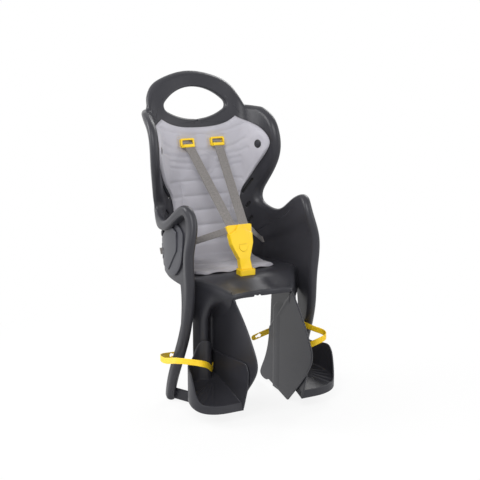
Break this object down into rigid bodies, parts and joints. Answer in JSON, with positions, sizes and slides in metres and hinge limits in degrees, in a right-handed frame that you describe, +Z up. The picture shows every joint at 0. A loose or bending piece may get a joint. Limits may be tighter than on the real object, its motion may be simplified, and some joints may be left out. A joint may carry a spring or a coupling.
{
  "type": "child bike seat",
  "caption": "Rear-mounted child bicycle seat: charcoal moulded shell with carry handle, armrests and leg guards, grey pad, yellow buckle and straps, sliding footrests",
  "frame": {"origin": "centre of the four bolt holes, on the bolted face under the pan", "axes": "+Z up out of the pan, -Y the way the child faces, +X the child's left"},
  "size_m": [0.4087, 0.5249, 0.756],
  "materials": {
    "shell": "satin moulded charcoal",
    "cover": "satin moulded charcoal",
    "pad": "quilted lilac-grey fabric",
    "snap": "dark satin",
    "yellow": "smooth bright yellow",
    "yellow_soft": "soft bright yellow",
    "webbing": "woven grey",
    "steel": "plain",
    "brass": "turned"
  },
  "bodies": {
    "seat": {"seat_shell": "shell", "side_cover_left": "cover", "side_cover_right": "cover", "seat_pad": "pad", "pad_snaps": "snap", "strap_guide_left": "yellow", "strap_guide_right": "yellow", "shoulder_strap_left": "webbing", "shoulder_strap_right": "webbing", "lap_strap_left": "webbing", "lap_strap_right": "webbing", "harness_anchor": "steel", "lap_anchor_left": "steel", "lap_anchor_right": "steel", "buckle_housing": "yellow", "buckle_tongue_left": "yellow", "buckle_tongue_right": "yellow", "crotch_base": "yellow", "mount_inserts": "brass"},
    "footrest_left": {"footrest_left": "shell", "foot_strap_left": "yellow_soft"},
    "footrest_right": {"footrest_right": "shell", "foot_strap_right": "yellow_soft"},
    "buckle_button": {"buckle_button": "yellow"}
  },
  "joints": [
    {"name": "footrest_left_slide", "type": "slide", "parent": "seat", "child": "footrest_left", "axis": [0, 0, 1], "range_m": [0, 0.06]},
    {"name": "footrest_right_slide", "type": "slide", "parent": "seat", "child": "footrest_right", "axis": [0, 0, 1], "range_m": [0, 0.06]},
    {"name": "button_press", "type": "slide", "parent": "seat", "child": "buckle_button", "axis": [0, 0.9373, -0.3486], "range_m": [0, 0.003], "stiffness_N_per_m": 300}
  ]
}
